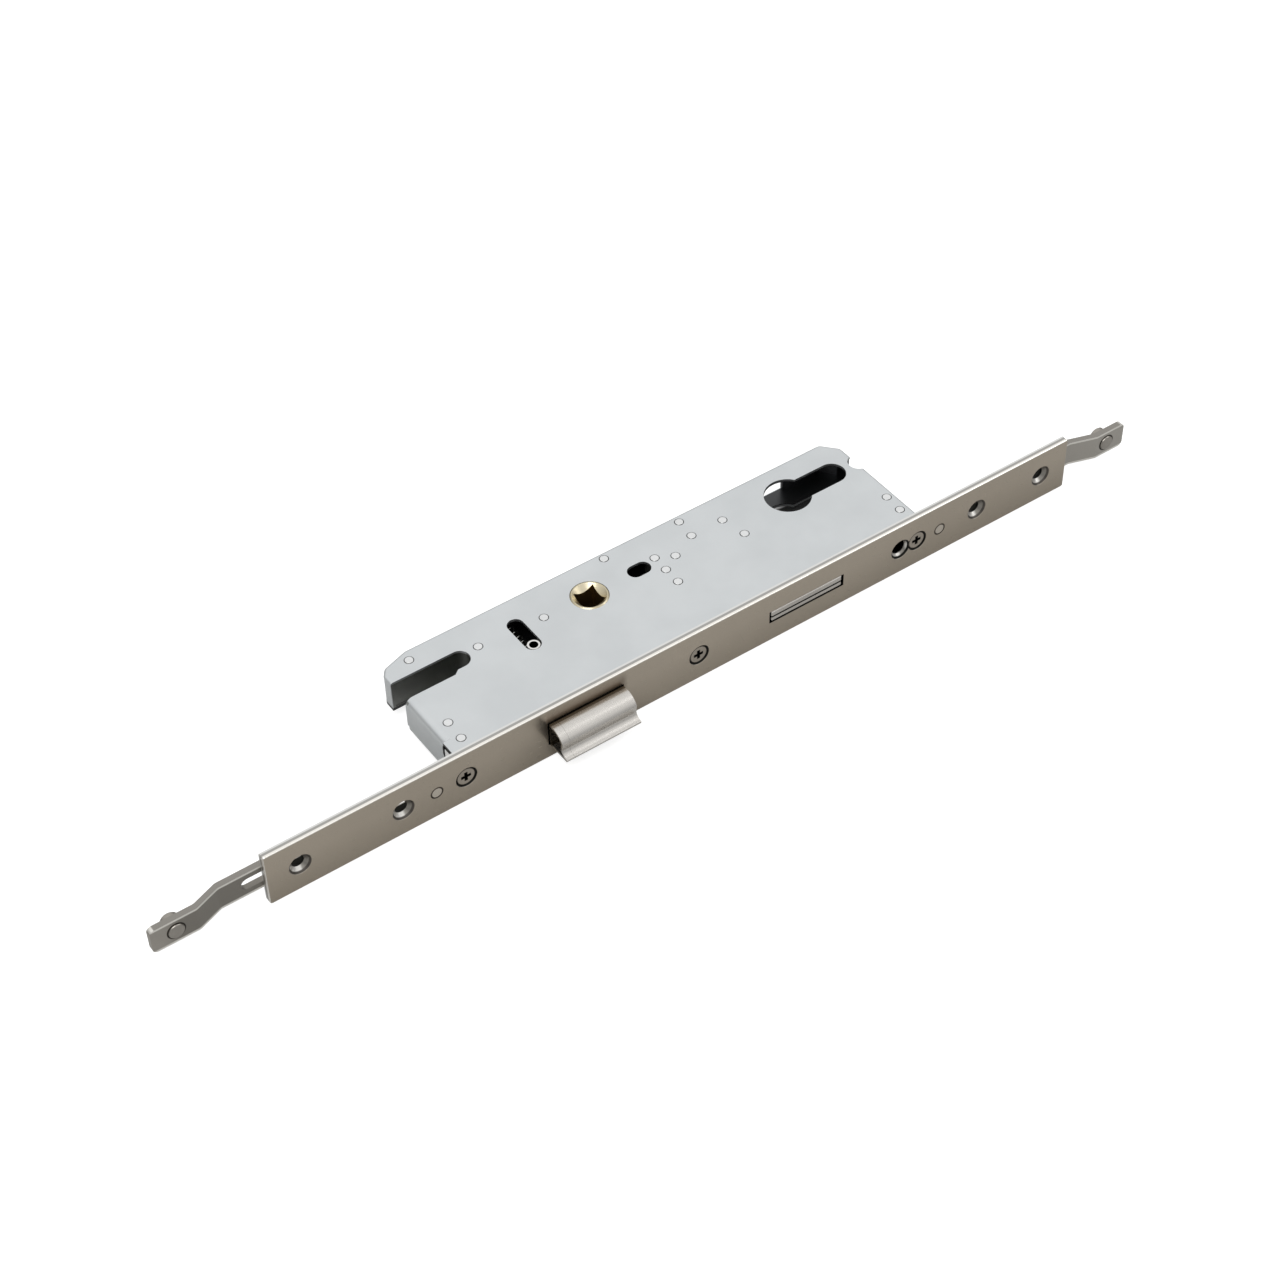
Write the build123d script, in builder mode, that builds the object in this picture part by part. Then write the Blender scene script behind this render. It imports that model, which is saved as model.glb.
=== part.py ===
from build123d import *
import math
import os

# A multipoint door lock. The origin is the spindle's axis at mid thickness.
# X runs along the face plate, Y runs into the door and Z across the door's thickness.
# Depths are measured from the front of the face plate.

os.makedirs("parts", exist_ok=True)

# Face plate
backset = 40.0
face_left = 149.5
face_right = 180.5
face_width = 22.0
face_thickness = 2.8
face_corner = 0.8
face_edge = 0.5

# Case
case_left = 76.7
case_right = 115.8
back_space = 15.0
case_thickness = 13.0
sheet = 1.25
case_gap = 0.3

# Drive rail and its rod ends
rail_gap = 0.2
rail_thickness = 2.2
rail_half = 5.1
rail_wide_half = 8.0
rail_travel = 13.6

# Handle, latch and deadbolt
spindle = 8.0
handle_angle = 45.0
latch_arm = 15.0
return_arm = 9.6
bolt_throw = 17.0

# Clearances
overrun = 3.0
press_play = 0.02
run_play = 0.08
slide_play = 0.1
free_play = 0.3
lug_wall_play = 0.05

# Planes and levels that the pieces share
front = -backset
face_back = front + face_thickness
rail_front = face_back + rail_gap
rail_back = rail_front + rail_thickness
case_front = rail_back + case_gap
case_back = back_space
case_outer = case_thickness / 2
case_inner = case_outer - sheet
half_turn = math.radians(handle_angle / 2)
latch_travel = 2 * latch_arm * math.sin(half_turn)
return_travel = 2 * return_arm * math.sin(half_turn)

# Places along the face plate
mount_xs = [-137.4, -99.5, 138.7, 168.6]
case_screw_xs = [-75.7, 17.0, 111.5]
stud_xs = [-87.0, 121.6]
cylinder_x = 85.0
cylinder_screw_x = 104.0

# Posts and rivets between the case's plates
rivet_radius = 1.75
rivet_proud = 0.12
rivet_edge = 0.3
corner_post_x = -65.9
corner_post_inset = 4.8
corner_post_y = case_back - corner_post_inset
corner_post_radius = 2.75
seat_rivet_x = -43.9
seat_rivet_y = 1.9
tail_post_x = -18.5
tail_post_y = 0.3
return_rivet_x = 14.2
return_rivet_inset = 3.1
return_rivet_y = case_back - return_rivet_inset
stop_post_x = 46.0
stop_post_inset = 3.4
stop_post_y = case_back - stop_post_inset
guide_post_radius = 2.0
guide_left_x = 45.4
guide_right_x = 58.8
guide_post_y = 3.4
arm_post_x = 60.9
arm_post_y = -6.7
arm_post_radius = 1.9
middle_rivet_xs = [28.5, 35.0, 28.3, 28.2]
middle_rivet_ys = [1.8, -1.5, -5.2, -12.4]
right_rivet_xs = [112.5, 112.1]
right_rivet_ys = [-21.4, -29.2]
left_rivet_xs = [-70.6, -70.8]
left_rivet_ys = [-21.5, -29.7]


def front_view(y):
    """A plane that faces out of the door's edge, with X as its X and Z as its Y."""
    return Plane(origin=(0, y, 0), x_dir=(1, 0, 0), z_dir=(0, -1, 0))


def rectangle_between(x0, y0, x1, y1, mode=Mode.ADD):
    """A rectangle of the open sketch, between two corners."""
    with Locations(((x0 + x1) / 2, (y0 + y1) / 2)):
        Rectangle(abs(x1 - x0), abs(y1 - y0), mode=mode)


def slot_between(x0, x1, half, mode=Mode.ADD):
    """A slot of the open sketch with round ends, along X between its two extremes."""
    with Locations(((x0 + x1) / 2, 0)):
        SlotOverall(x1 - x0, 2 * half, mode=mode)


def write(piece, name):
    """Labels a finished piece and writes its file."""
    piece.part.label = name
    export_step(piece.part, f"parts/{name}.step")


# Latch sizes that the face plate and the rail pass
latch_left = -43.8
latch_width = 29.6
latch_half = 4.9
latch_side_play = 0.4
latch_right = latch_left + latch_width

# Deadbolt sizes that the face plate and the rail pass
bolt_left = guide_left_x + guide_post_radius + slide_play
bolt_width = 30.2
bolt_leaf = 2.2
bolt_side_play = 0.9
bolt_right = bolt_left + bolt_width

# Screw sizes
screw_radius = 1.95
screw_head_radius = 3.35
screw_sink = 0.45
screw_depth = 7.2
thread_radius = 2.0
thread_depth = 7.6
nose_radius = 2.6
mount_hole_radius = 2.2
countersink_radius = 4.15
cylinder_screw_radius = 2.7
stud_radius = 2.15
opening_half = 5.1
bolt_opening_half = 2.6

# Face plate: a flat strip with softened front edges
with BuildPart() as faceplate:
    with BuildSketch(front_view(front)):
        with Locations(((face_right - face_left) / 2, 0)):
            RectangleRounded(face_left + face_right, face_width, face_corner)
    extrude(amount=-face_thickness)
    fillet(faceplate.faces().sort_by(Axis.Y)[0].edges(), face_edge)
    with BuildSketch(front_view(front - overrun)):
        rectangle_between(
            latch_left - latch_side_play, -opening_half, latch_right + latch_side_play, opening_half
        )
        rectangle_between(
            bolt_left - bolt_side_play, -bolt_opening_half, bolt_right + bolt_side_play, bolt_opening_half
        )
        with Locations(*[(x, 0) for x in stud_xs]):
            Circle(stud_radius + press_play)
    extrude(amount=-(face_thickness + 2 * overrun), mode=Mode.SUBTRACT)
    with Locations(front_view(front)):
        with Locations(*[(x, 0) for x in mount_xs + case_screw_xs]):
            CounterSinkHole(mount_hole_radius, countersink_radius, counter_sink_angle=90)
        with Locations((cylinder_screw_x, 0)):
            CounterSinkHole(cylinder_screw_radius, countersink_radius, counter_sink_angle=90)
write(faceplate, "faceplate")

# Case screws, countersunk, with a cross recess
recess_length = 3.6
recess_width = 0.85
recess_depth = 1.3
screw_cone = screw_head_radius - screw_radius
for number, screw_x in enumerate(case_screw_xs, start=1):
    with BuildPart() as case_screw:
        with BuildSketch(Plane.XY):
            with BuildLine():
                Polyline(
                    (screw_x, front + screw_sink),
                    (screw_x + screw_head_radius, front + screw_sink),
                    (screw_x + screw_radius, front + screw_sink + screw_cone),
                    (screw_x + screw_radius, front + screw_depth),
                    (screw_x, front + screw_depth),
                    close=True,
                )
            make_face()
        revolve(axis=Axis((screw_x, 0, 0), (0, 1, 0)))
        with BuildSketch(front_view(front)):
            with Locations((screw_x, 0)):
                Rectangle(recess_length, recess_width)
                Rectangle(recess_width, recess_length)
        extrude(amount=-(screw_sink + recess_depth), mode=Mode.SUBTRACT)
    write(case_screw, f"case_screw_{number}")

# Guide studs: riveted in the face plate, with a shank in the rail's slot and a collar behind it
collar_radius = 4.0
collar_thickness = 1.2
stud_edge = 0.2
for side, stud_x in zip(("left", "right"), stud_xs):
    with BuildPart() as guide_stud:
        with BuildSketch(front_view(front)):
            with Locations((stud_x, 0)):
                Circle(stud_radius)
        extrude(amount=-face_thickness)
        chamfer(guide_stud.faces().sort_by(Axis.Y)[0].edges(), stud_edge)
        with BuildSketch(front_view(face_back)):
            with Locations((stud_x, 0)):
                Circle(nose_radius)
        extrude(amount=-(rail_back - face_back + run_play))
        with BuildSketch(front_view(rail_back + run_play)):
            with Locations((stud_x, 0)):
                Circle(collar_radius)
        extrude(amount=-collar_thickness)
    write(guide_stud, f"guide_stud_{side}")

# Drive rail: a strip whose two ends are joggled forward, wider where the latch and the bolt pass
left_tip = 190.0
right_tip = 208.0
left_joggle_outer = 173.5
left_joggle_inner = 164.5
right_joggle_outer = 195.0
right_joggle_inner = 185.0
joggle_step = 3.3
joggle_bend = 3.0
tip_corner = 1.9
wide_left = -95.0
wide_right = 128.0
wide_taper = 5.0
slot_half = nose_radius + slide_play
window_half = latch_half + free_play
tip_front = rail_front - joggle_step
left_slot_end = -156.9
screw_play = 2.0
screw_room = mount_hole_radius + screw_play
cylinder_room = cylinder_screw_radius + free_play
slot_ends = [
    (left_slot_end, mount_xs[0] + screw_room),
    (mount_xs[1] - rail_travel - screw_room, case_screw_xs[0] + slot_half),
    (case_screw_xs[1] - rail_travel - slot_half, case_screw_xs[1] + slot_half),
    (cylinder_screw_x - rail_travel - cylinder_room, mount_xs[2] + screw_room),
    (mount_xs[3] - rail_travel - screw_room, mount_xs[3] + screw_room),
]
end_slot_half = 2.3
slot_halves = [end_slot_half, slot_half, slot_half, slot_half, end_slot_half]
tab_left = 21.3
tab_right = 32.0
tab_rivet_xs = [23.9, 29.4]
tab_rivet_radius = 1.5
rod_stud_xs = [-181.3, 199.8]
rod_stud_core = 1.6
with BuildPart() as drive_rail:
    with BuildSketch(Plane.XY.offset(-rail_wide_half)) as rail_profile:
        with BuildLine():
            Polyline(
                (-left_tip, tip_front),
                (-left_joggle_outer, tip_front),
                (-left_joggle_inner, rail_front),
                (right_joggle_inner, rail_front),
                (right_joggle_outer, tip_front),
                (right_tip, tip_front),
                (right_tip, tip_front + rail_thickness),
                (right_joggle_outer, tip_front + rail_thickness),
                (right_joggle_inner, rail_back),
                (-left_joggle_inner, rail_back),
                (-left_joggle_outer, tip_front + rail_thickness),
                (-left_tip, tip_front + rail_thickness),
                close=True,
            )
        make_face()
        fillet(rail_profile.vertices().sort_by(Axis.X)[2:-2], joggle_bend)
    extrude(amount=2 * rail_wide_half)
    with BuildSketch(front_view(tip_front - overrun)):
        rectangle_between(-left_tip, -rail_half, right_tip, rail_half)
        with BuildLine():
            Polyline(
                (wide_left - wide_taper, rail_half),
                (wide_left, rail_wide_half),
                (wide_right, rail_wide_half),
                (wide_right + wide_taper, rail_half),
                (wide_right + wide_taper, -rail_half),
                (wide_right, -rail_wide_half),
                (wide_left, -rail_wide_half),
                (wide_left - wide_taper, -rail_half),
                close=True,
            )
        make_face()
    extrude(amount=-(joggle_step + rail_thickness + 2 * overrun), mode=Mode.INTERSECT)
    fillet(drive_rail.edges().filter_by(Axis.Y).group_by(Axis.X)[0], tip_corner)
    fillet(drive_rail.edges().filter_by(Axis.Y).group_by(Axis.X)[-1], tip_corner)
    with BuildSketch(front_view(tip_front - overrun)):
        for (slot_left, slot_right), half in zip(slot_ends, slot_halves):
            slot_between(slot_left, slot_right, half)
        rectangle_between(
            latch_left - rail_travel - slide_play, -window_half, latch_right + latch_side_play, window_half
        )
        rectangle_between(
            bolt_left - rail_travel - free_play, -window_half, bolt_right + latch_side_play, window_half
        )
        with Locations(*[(x, 0) for x in tab_rivet_xs]):
            Circle(tab_rivet_radius + press_play)
        with Locations(*[(x, 0) for x in rod_stud_xs]):
            Circle(rod_stud_core + press_play)
    extrude(amount=-(joggle_step + rail_thickness + 2 * overrun), mode=Mode.SUBTRACT)
write(drive_rail, "drive_rail")

# Rod studs: a low head on the rod end's front and a chamfered stud behind it
rod_head_radius = 2.8
rod_head_height = 0.6
rod_head_round = 0.48
rod_stud_radius = 3.25
rod_stud_length = 3.5
rod_stud_chamfer = 0.6
for side, stud_x in zip(("left", "right"), rod_stud_xs):
    with BuildPart() as rod_stud:
        with BuildSketch(front_view(tip_front)):
            with Locations((stud_x, 0)):
                Circle(rod_stud_core)
        extrude(amount=-rail_thickness)
        with BuildSketch(front_view(tip_front - rod_head_height)):
            with Locations((stud_x, 0)):
                Circle(rod_head_radius)
        extrude(amount=-rod_head_height)
        fillet(rod_stud.faces().sort_by(Axis.Y)[0].edges(), rod_head_round)
        with BuildSketch(front_view(tip_front + rail_thickness)):
            with Locations((stud_x, 0)):
                Circle(rod_stud_radius)
        extrude(amount=-rod_stud_length)
        chamfer(rod_stud.faces().sort_by(Axis.Y)[-1].edges(), rod_stud_chamfer)
    write(rod_stud, f"rod_stud_{side}")

# Case outline, seen from above, with the open slot in its left end and the notch in its right
left_corner_x = 11.9
left_corner_y = 6.0
left_corner_mid_x = 2.2
left_corner_mid_y = 3.0
right_corner_x = 5.3
right_corner_y = 6.0
corner_radius = 2.5
end_slot_x = -52.15
end_slot_y = 0.65
end_slot_radius = 3.85
end_slot_wide_y = -4.7
end_slot_step_left = -57.0
end_slot_step_right = -55.0
end_slot_corner = 1.3
notch_radius = 4.0
notch_y = -0.6
notch_outside = 0.6
with BuildSketch() as case_outline:
    with BuildLine():
        Polyline(
            (-case_left, case_front),
            (case_right, case_front),
            (case_right, case_back - right_corner_y),
            (case_right - right_corner_x, case_back),
            (-case_left + left_corner_x, case_back),
            (-case_left + left_corner_mid_x, case_back - left_corner_mid_y),
            (-case_left, case_back - left_corner_y),
            close=True,
        )
    make_face()
    rear_corners = case_outline.vertices().filter_by(lambda corner: corner.Y > case_front + corner_radius)
    fillet(rear_corners, corner_radius)
    with BuildLine():
        Polyline(
            (-case_left - overrun, end_slot_wide_y),
            (end_slot_step_left, end_slot_wide_y),
            (end_slot_step_right, end_slot_y - end_slot_radius),
            (end_slot_x, end_slot_y - end_slot_radius),
            (end_slot_x, end_slot_y + end_slot_radius),
            (-case_left - overrun, end_slot_y + end_slot_radius),
            close=True,
        )
    make_face(mode=Mode.SUBTRACT)
    with Locations((end_slot_x, end_slot_y)):
        Circle(end_slot_radius, mode=Mode.SUBTRACT)
    with Locations((case_right + notch_outside, notch_y)):
        Circle(notch_radius, mode=Mode.SUBTRACT)
    fillet(case_outline.vertices().sort_by_distance((-case_left, end_slot_wide_y, 0))[0], end_slot_corner)

# Openings of the case's two plates
hub_radius = 6.8
cylinder_radius = 8.57
cylinder_tail_half = 5.12
cylinder_tail_tip = 24.9
cylinder_tail_x = cylinder_x + cylinder_tail_tip - cylinder_tail_half
oblong_x = 20.9
oblong_y = 0.3
oblong_length = 9.0
oblong_width = 6.0
cross_slot_x = -28.3
cross_slot_width = 6.0
guide_pin_radius = 2.25
guide_pin_bore = 1.6
guide_pin_y = -8.2
cross_slot_front = guide_pin_y - guide_pin_radius - free_play
cross_slot_back = guide_pin_y + latch_travel + guide_pin_radius + free_play
rivet_places = [
    (corner_post_x, corner_post_y),
    (seat_rivet_x, seat_rivet_y),
    (tail_post_x, tail_post_y),
    (return_rivet_x, return_rivet_y),
    (stop_post_x, stop_post_y),
    (guide_left_x, guide_post_y),
    (guide_right_x, guide_post_y),
    (arm_post_x, arm_post_y),
]
middle_rivets = list(zip(middle_rivet_xs, middle_rivet_ys))
right_rivets = list(zip(right_rivet_xs, right_rivet_ys))
left_rivets = list(zip(left_rivet_xs, left_rivet_ys))
rivet_places = rivet_places + middle_rivets + right_rivets + left_rivets
with BuildSketch() as case_openings:
    with Locations((0, 0)):
        Circle(hub_radius + run_play)
    with Locations((cylinder_x, 0)):
        Circle(cylinder_radius)
    rectangle_between(cylinder_x, -cylinder_tail_half, cylinder_tail_x, cylinder_tail_half)
    with Locations((cylinder_tail_x, 0)):
        Circle(cylinder_tail_half)
    with Locations((oblong_x, oblong_y)):
        SlotOverall(oblong_length, oblong_width)
    with Locations((cross_slot_x, (cross_slot_front + cross_slot_back) / 2)):
        SlotOverall(cross_slot_back - cross_slot_front, cross_slot_width, rotation=90)
    with Locations(*rivet_places):
        Circle(rivet_radius + press_play)

# Case tray: the top plate with its bent walls
window_depth = 12.0
left_bend = 3.0
leg_wall_back_inset = 6.4
flange_inset = 0.5
flange_gap = 0.45
flange_left = -case_left + sheet + lug_wall_play
flange_right = -46.0
leg_wall_front = end_slot_y + end_slot_radius
back_wall_left = -64.5
back_wall_right = 110.0
cam_window_left = 76.6
cam_window_right = 93.4
right_wall_front = -33.0
right_wall_back = -5.2
notch_wall_front = 3.8
notch_wall_back_inset = 6.4
bend_radius = 1.1
walls = [
    (-case_left, leg_wall_front, -case_left + sheet, case_back - leg_wall_back_inset),
    (back_wall_left, case_back - sheet, cam_window_left, case_back),
    (cam_window_right, case_back - sheet, back_wall_right, case_back),
    (case_right - sheet, right_wall_front, case_right, right_wall_back),
    (case_right - sheet, notch_wall_front, case_right, case_back - notch_wall_back_inset),
]
with BuildSketch() as corner_wall:
    add(case_outline.sketch)
    add(offset(case_outline.sketch, amount=-sheet, mode=Mode.PRIVATE), mode=Mode.SUBTRACT)
    rectangle_between(
        back_wall_right, case_back - notch_wall_back_inset, case_right, case_back, mode=Mode.INTERSECT
    )
with BuildPart() as case_tray:
    with BuildSketch(Plane.XY.offset(case_inner)):
        add(case_outline.sketch)
        add(case_openings.sketch, mode=Mode.SUBTRACT)
        rectangle_between(
            -case_left - overrun,
            front + window_depth,
            -case_left + left_bend,
            end_slot_wide_y,
            mode=Mode.SUBTRACT,
        )
    extrude(amount=sheet)
    with BuildSketch(front_view(front + window_depth)) as left_end:
        rectangle_between(-case_left, -case_inner, -case_left + left_bend + sheet, case_outer)
        rectangle_between(
            -case_left + sheet, -case_inner, -case_left + left_bend + sheet, case_inner, mode=Mode.SUBTRACT
        )
        inner_corner = left_end.vertices().sort_by_distance((-case_left + sheet, case_inner, 0))[0]
        fillet(inner_corner, left_bend - sheet)
        fillet(left_end.vertices().sort_by_distance((-case_left, case_outer, 0))[0], left_bend)
    extrude(amount=-(end_slot_wide_y - front - window_depth))
    with BuildSketch(Plane.XY.offset(-case_inner)):
        add(corner_wall.sketch)
        for wall in walls:
            rectangle_between(*wall)
    extrude(amount=2 * case_inner)
    top_edges = case_tray.faces().sort_by(Axis.Z)[-1].edges()
    across = top_edges.filter_by(Axis.Y).group_by(Axis.X)
    bends = top_edges.filter_by(Axis.X).sort_by(Axis.Y)[-1:] + across[0].sort_by(Axis.Y)[-1:] + across[-1]
    fillet(bends, bend_radius)
write(case_tray, "case_tray")

# The bent wall that goes round the open slot, a little inside the plates' edge
with BuildSketch() as slot_bore:
    rectangle_between(-case_left - overrun, end_slot_wide_y, end_slot_step_left, end_slot_y)
    rectangle_between(
        -case_left - overrun, end_slot_y - end_slot_radius, end_slot_x, end_slot_y + end_slot_radius
    )
    with Locations((end_slot_x, end_slot_y)):
        Circle(end_slot_radius)
    offset(amount=flange_inset)
with BuildSketch() as slot_wall:
    add(slot_bore.sketch)
    offset(amount=sheet)
    add(slot_bore.sketch, mode=Mode.SUBTRACT)
    rectangle_between(flange_left, case_front, flange_right, case_back, mode=Mode.INTERSECT)
    rectangle_between(flange_left, case_front, -case_left + left_bend, end_slot_y, mode=Mode.SUBTRACT)

# Case cover: the plate that the posts hold below the tray, with the slot's wall
with BuildPart() as case_cover:
    with BuildSketch(Plane.XY.offset(-case_outer)):
        add(case_outline.sketch)
        add(case_openings.sketch, mode=Mode.SUBTRACT)
    extrude(amount=sheet)
    with BuildSketch(Plane.XY.offset(-case_inner)):
        add(slot_wall.sketch)
    extrude(amount=2 * case_inner - flange_gap)
write(case_cover, "case_cover")

# Posts and rivets: full-height pins, some of them with a wider body between the plates
post_names = [
    "corner_post", "seat_rivet", "tail_post", "return_rivet", "stop_post", "guide_post_left",
    "guide_post_right", "arm_post", "middle_rivet_1", "middle_rivet_2", "middle_rivet_3", "middle_rivet_4",
    "right_rivet_1", "right_rivet_2", "left_rivet_1", "left_rivet_2",
]
post_bodies = {
    "corner_post": corner_post_radius,
    "guide_post_left": guide_post_radius,
    "guide_post_right": guide_post_radius,
    "arm_post": arm_post_radius,
}
for post_name, place in zip(post_names, rivet_places):
    with BuildPart() as post:
        with BuildSketch(Plane.XY.offset(-case_outer - rivet_proud)):
            with Locations(place):
                Circle(rivet_radius)
        extrude(amount=case_thickness + 2 * rivet_proud)
        chamfer(post.edges().filter_by(GeomType.CIRCLE), rivet_edge)
        with BuildSketch(Plane.XY.offset(-case_inner)):
            with Locations(place):
                Circle(post_bodies.get(post_name, rivet_radius))
        extrude(amount=2 * case_inner)
    write(post, post_name)

# Cast lugs: each has a round nose that reaches the face plate through the rail's slot
lug_left = -78.4
lug_step_depth = 8.2
lug_window_half = 4.2
lug_window_gap = 0.8
lug_left_inner = -66.0
lug_left_back = -17.5
lug_right_inner = 107.4
lug_right_back = -18.0
middle_left = 12.7
middle_right = 20.6
middle_front_depth = 14.0
middle_back_depth = 16.0
middle_neck_x = 33.0
middle_neck_y = -18.0
middle_far_x = 37.2
middle_far_y = -16.0
middle_near_x = 26.0
middle_near_y = -14.5
middle_top = 4.2
lug_corner = 1.0
with BuildSketch() as left_lug_outline:
    with BuildLine():
        Polyline(
            (lug_left, case_front),
            (lug_left_inner, case_front),
            (lug_left_inner, lug_left_back),
            (-case_left + sheet + lug_wall_play, lug_left_back),
            (-case_left + sheet + lug_wall_play, front + window_depth - lug_window_gap),
            (-case_left, front + window_depth - lug_window_gap),
            (-case_left, front + lug_step_depth),
            (lug_left, front + lug_step_depth),
            close=True,
        )
    make_face()
    with Locations(*left_rivets):
        Circle(rivet_radius + press_play, mode=Mode.SUBTRACT)
with BuildSketch() as middle_lug_outline:
    with BuildLine():
        Polyline(
            (middle_left, case_front),
            (middle_right, case_front),
            (middle_right, front + middle_front_depth),
            (middle_neck_x, middle_neck_y),
            (middle_far_x, middle_far_y),
            (middle_far_x, middle_top),
            (middle_near_x, middle_top),
            (middle_near_x, middle_near_y),
            (middle_left, front + middle_back_depth),
            close=True,
        )
    make_face()
    with Locations(*middle_rivets):
        Circle(rivet_radius + press_play, mode=Mode.SUBTRACT)
with BuildSketch() as right_lug_outline:
    rectangle_between(lug_right_inner, case_front, case_right - sheet - lug_wall_play, lug_right_back)
    with Locations(*right_rivets):
        Circle(rivet_radius + press_play, mode=Mode.SUBTRACT)
lug_outlines = [left_lug_outline, middle_lug_outline, right_lug_outline]
for side, outline, screw_x in zip(("left", "middle", "right"), lug_outlines, case_screw_xs):
    with BuildPart() as lug:
        with BuildSketch(Plane.XY.offset(-case_inner)):
            add(outline.sketch)
        extrude(amount=2 * case_inner)
        with BuildSketch(front_view(face_back)):
            with Locations((screw_x, 0)):
                Circle(nose_radius)
        extrude(amount=-(case_front - face_back))
        with BuildSketch(front_view(face_back)):
            with Locations((screw_x, 0)):
                Circle(thread_radius)
        extrude(amount=-(thread_depth - face_thickness), mode=Mode.SUBTRACT)
        if side == "left":
            for level in (-case_inner, lug_window_half):
                with BuildSketch(Plane.XY.offset(level)):
                    rectangle_between(lug_left, case_front, -case_left + sheet, front + window_depth)
                extrude(amount=case_inner - lug_window_half, mode=Mode.SUBTRACT)
            with BuildSketch(Plane.XY.offset(case_outer - left_bend)):
                rectangle_between(
                    -case_left, front + window_depth - lug_window_gap, -case_left + left_bend, case_back
                )
            extrude(amount=left_bend, mode=Mode.SUBTRACT)
    write(lug, f"lug_{side}")

# Latch bolt: the nose is a convex slope, a waist and a concave flare that ends in a lip
latch_rear_depth = 12.0
ridge_reach = 1.8
slope_reach = 5.6
slope_z = 4.0
nose_reach = 7.9
nose_z = 1.6
waist_reach = 7.5
waist_z = -1.7
flare_reach = 8.5
flare_z = -3.1
lip_reach = 10.5
lip_top = -3.8
lip_round = 0.45
lip_low_reach = 10.1
nose_rim = 0.8
nose_recess = 3.0
nose_round = 1.4
rebate_depth = 6.0
tail_bottom = -4.6
tail_sheet = 2.0
tail_top = tail_bottom + tail_sheet
tail_inset = 8.8
tail_left = latch_left + tail_inset
tail_right = -12.2
left_rivet_inset = 11.8
right_rivet_inset = 3.3
latch_rivet_xs = [latch_left + left_rivet_inset, latch_right - right_rivet_inset]
latch_rivet_depth = 9.1
latch_rivet_radius = 1.3
with BuildSketch() as latch_profile:
    with BuildLine():
        Line((front + latch_rear_depth, latch_half), (front - ridge_reach, latch_half))
        ThreePointArc(
            (front - ridge_reach, latch_half), (front - slope_reach, slope_z), (front - nose_reach, nose_z)
        )
        Line((front - nose_reach, nose_z), (front - waist_reach, waist_z))
        ThreePointArc(
            (front - waist_reach, waist_z), (front - flare_reach, flare_z), (front - lip_reach, lip_top)
        )
        Polyline(
            (front - lip_reach, lip_top),
            (front - lip_low_reach, -latch_half),
            (front + latch_rear_depth, -latch_half),
            (front + latch_rear_depth, latch_half),
        )
    make_face()
    fillet(latch_profile.vertices().sort_by_distance((front - waist_reach, waist_z, 0))[0], nose_round)
    fillet(latch_profile.vertices().sort_by(Axis.X)[:2], lip_round)
with BuildSketch() as nose_bore:
    add(latch_profile.sketch)
    offset(amount=-nose_rim)
    rectangle_between(front - lip_reach, -latch_half, front - nose_rim, latch_half, mode=Mode.INTERSECT)
with BuildPart() as latch_bolt:
    with BuildSketch(Plane.YZ.offset(latch_left)):
        add(latch_profile.sketch)
    extrude(amount=latch_width)
    with BuildSketch(Plane.YZ.offset(latch_left)):
        add(nose_bore.sketch)
    extrude(amount=nose_recess, mode=Mode.SUBTRACT)
    with BuildSketch(Plane.XY.offset(-latch_half - overrun)):
        rectangle_between(
            tail_left - slide_play,
            front + rebate_depth,
            latch_right + overrun,
            front + latch_rear_depth + overrun,
        )
    extrude(amount=overrun + latch_half + tail_top, mode=Mode.SUBTRACT)
    with BuildSketch(Plane.XY.offset(-latch_half)):
        with Locations(*[(x, front + latch_rivet_depth) for x in latch_rivet_xs]):
            Circle(latch_rivet_radius + press_play)
    extrude(amount=2 * latch_half, mode=Mode.SUBTRACT)
write(latch_bolt, "latch_bolt")

# Where the follower's two arms meet the latch's drive pin and the return plunger
tip_radius = 1.5
drive_pin_radius = 1.4
arm_reach = tip_radius + drive_pin_radius + free_play
latch_swing = latch_arm * (1 - math.cos(half_turn)) / 2
latch_pin_x = -latch_arm + latch_swing
latch_pin_y = math.sqrt(arm_reach**2 - latch_swing**2) - latch_arm * math.sin(half_turn)
return_swing = return_arm * (1 - math.cos(half_turn)) / 2
plunger_y = return_arm - return_swing
plunger_x = math.sqrt(arm_reach**2 - return_swing**2) - return_arm * math.sin(half_turn)

# Latch tail: a plate under the latch bolt's rear, forked round its post
tail_back = case_back - sheet - latch_travel - free_play
tail_neck_depth = 14.0
tail_head_right = latch_right - latch_side_play
tail_slot_half = rivet_radius + slide_play
with BuildPart() as latch_tail:
    with BuildSketch(Plane.XY.offset(tail_bottom)):
        with BuildLine():
            Polyline(
                (tail_left, front + rebate_depth + slide_play),
                (tail_head_right, front + rebate_depth + slide_play),
                (tail_head_right, front + tail_neck_depth),
                (tail_right, front + tail_neck_depth + tail_sheet),
                (tail_right, tail_back),
                (tail_left, tail_back),
                close=True,
            )
        make_face()
        with Locations((tail_post_x, tail_post_y - latch_travel)):
            Circle(tail_slot_half, mode=Mode.SUBTRACT)
        rectangle_between(
            tail_post_x - tail_slot_half, tail_post_y - latch_travel, tail_post_x + tail_slot_half, tail_back,
            mode=Mode.SUBTRACT,
        )
        with Locations((cross_slot_x, guide_pin_y)):
            Circle(guide_pin_radius + press_play, mode=Mode.SUBTRACT)
        with Locations((latch_pin_x, latch_pin_y)):
            Circle(drive_pin_radius + press_play, mode=Mode.SUBTRACT)
        with Locations(*[(x, front + latch_rivet_depth) for x in latch_rivet_xs]):
            Circle(latch_rivet_radius + press_play, mode=Mode.SUBTRACT)
    extrude(amount=tail_sheet)
write(latch_tail, "latch_tail")

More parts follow.
